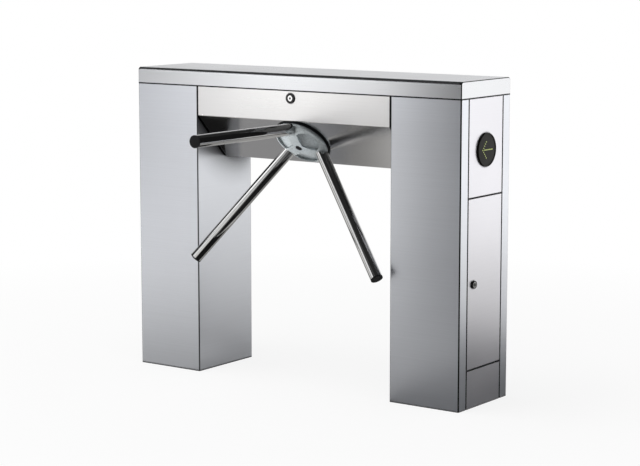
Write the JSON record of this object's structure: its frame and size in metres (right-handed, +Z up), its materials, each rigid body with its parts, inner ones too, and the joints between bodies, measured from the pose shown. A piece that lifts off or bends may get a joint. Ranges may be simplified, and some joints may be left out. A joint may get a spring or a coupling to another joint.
{
  "type": "tripod turnstile",
  "caption": "Waist-high tripod turnstile: steel cabinet on twin pedestals, slanted bridge with a tilted rotor and angled arms, hinged lid, service doors and an inner drive with locking pawls.",
  "frame": {"origin": "on the floor, midway between the pedestals and midway through the cabinet's depth", "axes": "+Z up, +X along the cabinet, the arms in front at -Y"},
  "size_m": [1.244, 0.7581, 0.98],
  "materials": {
    "stainless": "satin",
    "bright_steel": "polished",
    "cast_alloy": "satin",
    "black_plastic": "matte",
    "seal_rubber": "matte",
    "lamp_light": "glossy",
    "plated_steel": "satin",
    "lock_chrome": "polished",
    "dark_enamel": "satin",
    "gear_steel": "satin",
    "board_green": "matte",
    "clear_code": "glossy"
  },
  "bodies": {
    "cabinet": {"left_pedestal_casing": "stainless", "left_display_panel": "stainless", "left_plinth_panel": "stainless", "left_base_plate": "plated_steel", "left_bridge_end_frame": "plated_steel", "right_pedestal_casing": "stainless", "right_display_panel": "stainless", "right_plinth_panel": "stainless", "right_base_plate": "plated_steel", "right_bridge_end_frame": "plated_steel", "bridge_trough": "stainless", "door_hinge_halves": "plated_steel", "lid_hinge_halves": "plated_steel", "equipment_plates": "plated_steel", "mechanism_studs": "plated_steel", "plate_pillars": "plated_steel", "mechanism_plate": "plated_steel", "pawl_pivot_pins": "plated_steel", "indicator_discs": "black_plastic", "rotor_bezel_ring": "black_plastic", "position_sensor": "black_plastic", "lid_lock_body": "black_plastic", "indicator_leds": "lamp_light", "lid_seal": "seal_rubber", "bearing_housing": "cast_alloy", "bearing_outer_rings": "bright_steel", "drive_motor": "dark_enamel", "left_solenoid": "dark_enamel", "rear_solenoid": "dark_enamel", "power_supply": "dark_enamel", "control_board": "board_green"},
    "rotor": {"rotor_shaft": "gear_steel", "tripod_hub": "cast_alloy", "hub_nose_plug": "black_plastic", "front_arm": "bright_steel", "left_arm": "bright_steel", "right_arm": "bright_steel", "arm_end_caps": "black_plastic", "bearing_inner_rings": "bright_steel", "drive_gear": "gear_steel", "locking_disc": "gear_steel", "encoder_disc": "clear_code", "shaft_nut": "plated_steel"},
    "pinion": {"motor_pinion": "gear_steel"},
    "left_pawl_arm": {"left_pawl": "gear_steel"},
    "rear_pawl_arm": {"rear_pawl": "gear_steel"},
    "left_plunger_core": {"left_plunger": "gear_steel"},
    "rear_plunger_core": {"rear_plunger": "gear_steel"},
    "lid_cover": {"lid": "stainless", "lid_hinge_straps": "plated_steel", "lid_catch": "plated_steel"},
    "lid_lock_turn": {"lid_lock_plug": "lock_chrome"},
    "left_door": {"left_service_door": "stainless", "left_door_lock_body": "lock_chrome"},
    "right_door": {"right_service_door": "stainless", "right_door_lock_body": "lock_chrome"},
    "left_lock_turn": {"left_door_lock_plug": "lock_chrome"},
    "right_lock_turn": {"right_door_lock_plug": "lock_chrome"}
  },
  "joints": [
    {"name": "rotor_spin", "type": "hinge", "parent": "cabinet", "child": "rotor", "pos_m": [0, -0.075, 0.77], "axis": [0, 0.7071, 0.7071], "continuous": true},
    {"name": "pinion_spin", "type": "hinge", "parent": "cabinet", "child": "pinion", "pos_m": [0.08, -0.075, 0.77], "axis": [0, 0.7071, 0.7071], "continuous": true},
    {"name": "left_pawl_swing", "type": "hinge", "parent": "cabinet", "child": "left_pawl_arm", "pos_m": [-0.078, 0.02965, 0.81101], "axis": [0, 0.7071, 0.7071], "range_deg": [0, 9], "stiffness_Nm_per_rad": 1, "springref_deg": -8.59},
    {"name": "rear_pawl_swing", "type": "hinge", "parent": "cabinet", "child": "rear_pawl_arm", "pos_m": [0.045, 0.05299, 0.78768], "axis": [0, 0.7071, 0.7071], "range_deg": [0, 9], "stiffness_Nm_per_rad": 1, "springref_deg": -8.59},
    {"name": "left_plunger_slide", "type": "slide", "parent": "cabinet", "child": "left_plunger_core", "axis": [1, 0, 0], "range_m": [0, 0.0066]},
    {"name": "rear_plunger_slide", "type": "slide", "parent": "cabinet", "child": "rear_plunger_core", "axis": [0, -0.7071, 0.7071], "range_m": [0, 0.0066]},
    {"name": "lid_swing", "type": "hinge", "parent": "cabinet", "child": "lid_cover", "pos_m": [0, 0.146, 0.9285], "axis": [-1, 0, 0], "range_deg": [0, 95]},
    {"name": "lid_lock_key", "type": "hinge", "parent": "cabinet", "child": "lid_lock_turn", "pos_m": [0, -0.14, 0.905], "axis": [0, 1, 0], "range_deg": [0, 90]},
    {"name": "left_door_swing", "type": "hinge", "parent": "cabinet", "child": "left_door", "pos_m": [-0.61, 0.091, 0.376], "axis": [0, 0, -1], "range_deg": [0, 100]},
    {"name": "right_door_swing", "type": "hinge", "parent": "cabinet", "child": "right_door", "pos_m": [0.61, 0.091, 0.376], "axis": [0, 0, 1], "range_deg": [0, 100]},
    {"name": "left_door_key", "type": "hinge", "parent": "left_door", "child": "left_lock_turn", "pos_m": [-0.61, -0.063, 0.375], "axis": [1, 0, 0], "range_deg": [0, 90]},
    {"name": "right_door_key", "type": "hinge", "parent": "right_door", "child": "right_lock_turn", "pos_m": [0.61, -0.063, 0.375], "axis": [1, 0, 0], "range_deg": [0, 90]}
  ],
  "couplings": [
    {"joint": "pinion_spin", "follows": "rotor_spin", "ratio": -3},
    {"joint": "left_plunger_slide", "follows": "left_pawl_swing", "m_per_rad": 0.0414},
    {"joint": "rear_plunger_slide", "follows": "rear_pawl_swing", "m_per_rad": 0.0414}
  ]
}
